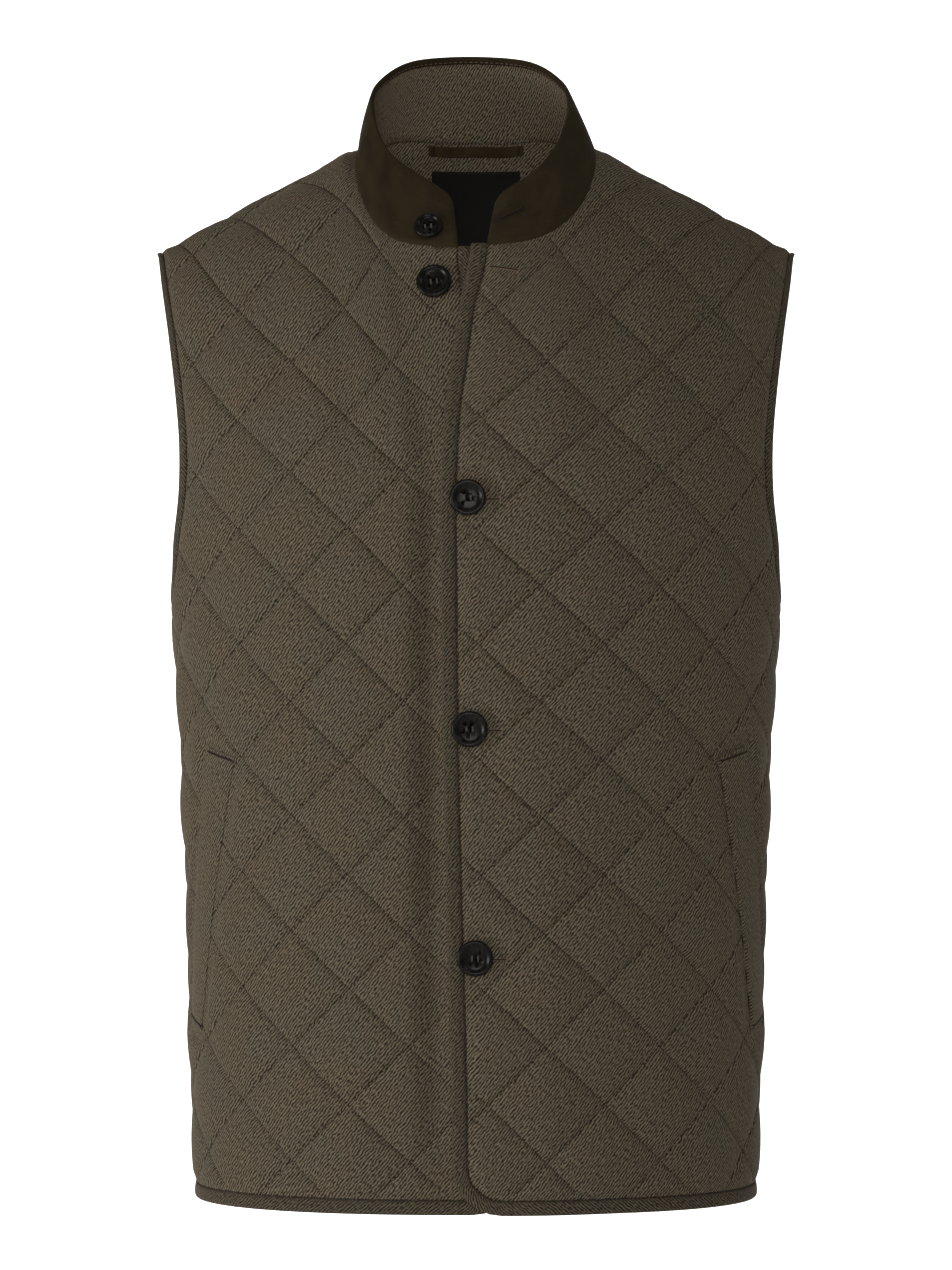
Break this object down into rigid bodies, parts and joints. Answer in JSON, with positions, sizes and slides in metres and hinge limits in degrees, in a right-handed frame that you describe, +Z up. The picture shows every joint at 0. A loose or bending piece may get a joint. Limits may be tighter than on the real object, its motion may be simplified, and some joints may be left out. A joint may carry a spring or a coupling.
{
  "type": "quilted wool vest",
  "caption": "Sleeveless quilted wool vest with a stand collar, bound edges, slanted side pockets and a buttoned overlapping front, open at neck, armholes and hem.",
  "frame": {"origin": "midway between the shoulders, at the height of the middle of the shoulder seams", "axes": "+Z up along the back, +X to the wearer's left, -Y out of the front"},
  "size_m": [0.4072, 0.2581, 0.7363],
  "materials": {
    "wool": "brown melange wool twill, quilted",
    "binding": "the same wool cut on the bias",
    "collar": "smooth dark suede-like cloth",
    "label": "black woven satin",
    "button": "polished dark horn-like plastic"
  },
  "bodies": {
    "root": {"front_left": "wool", "front_right": "wool", "back": "wool", "collar_facing": "wool", "welt_left": "wool", "welt_right": "wool", "binding_front_left": "binding", "binding_front_right": "binding", "binding_back_hem": "binding", "binding_armhole_left": "binding", "binding_armhole_right": "binding", "collar_outer": "collar", "hanger_loop": "collar", "neck_label": "label", "button_collar": "button", "button_neck": "button", "button_chest": "button", "button_waist": "button", "button_lower": "button"}
  },
  "joints": []
}
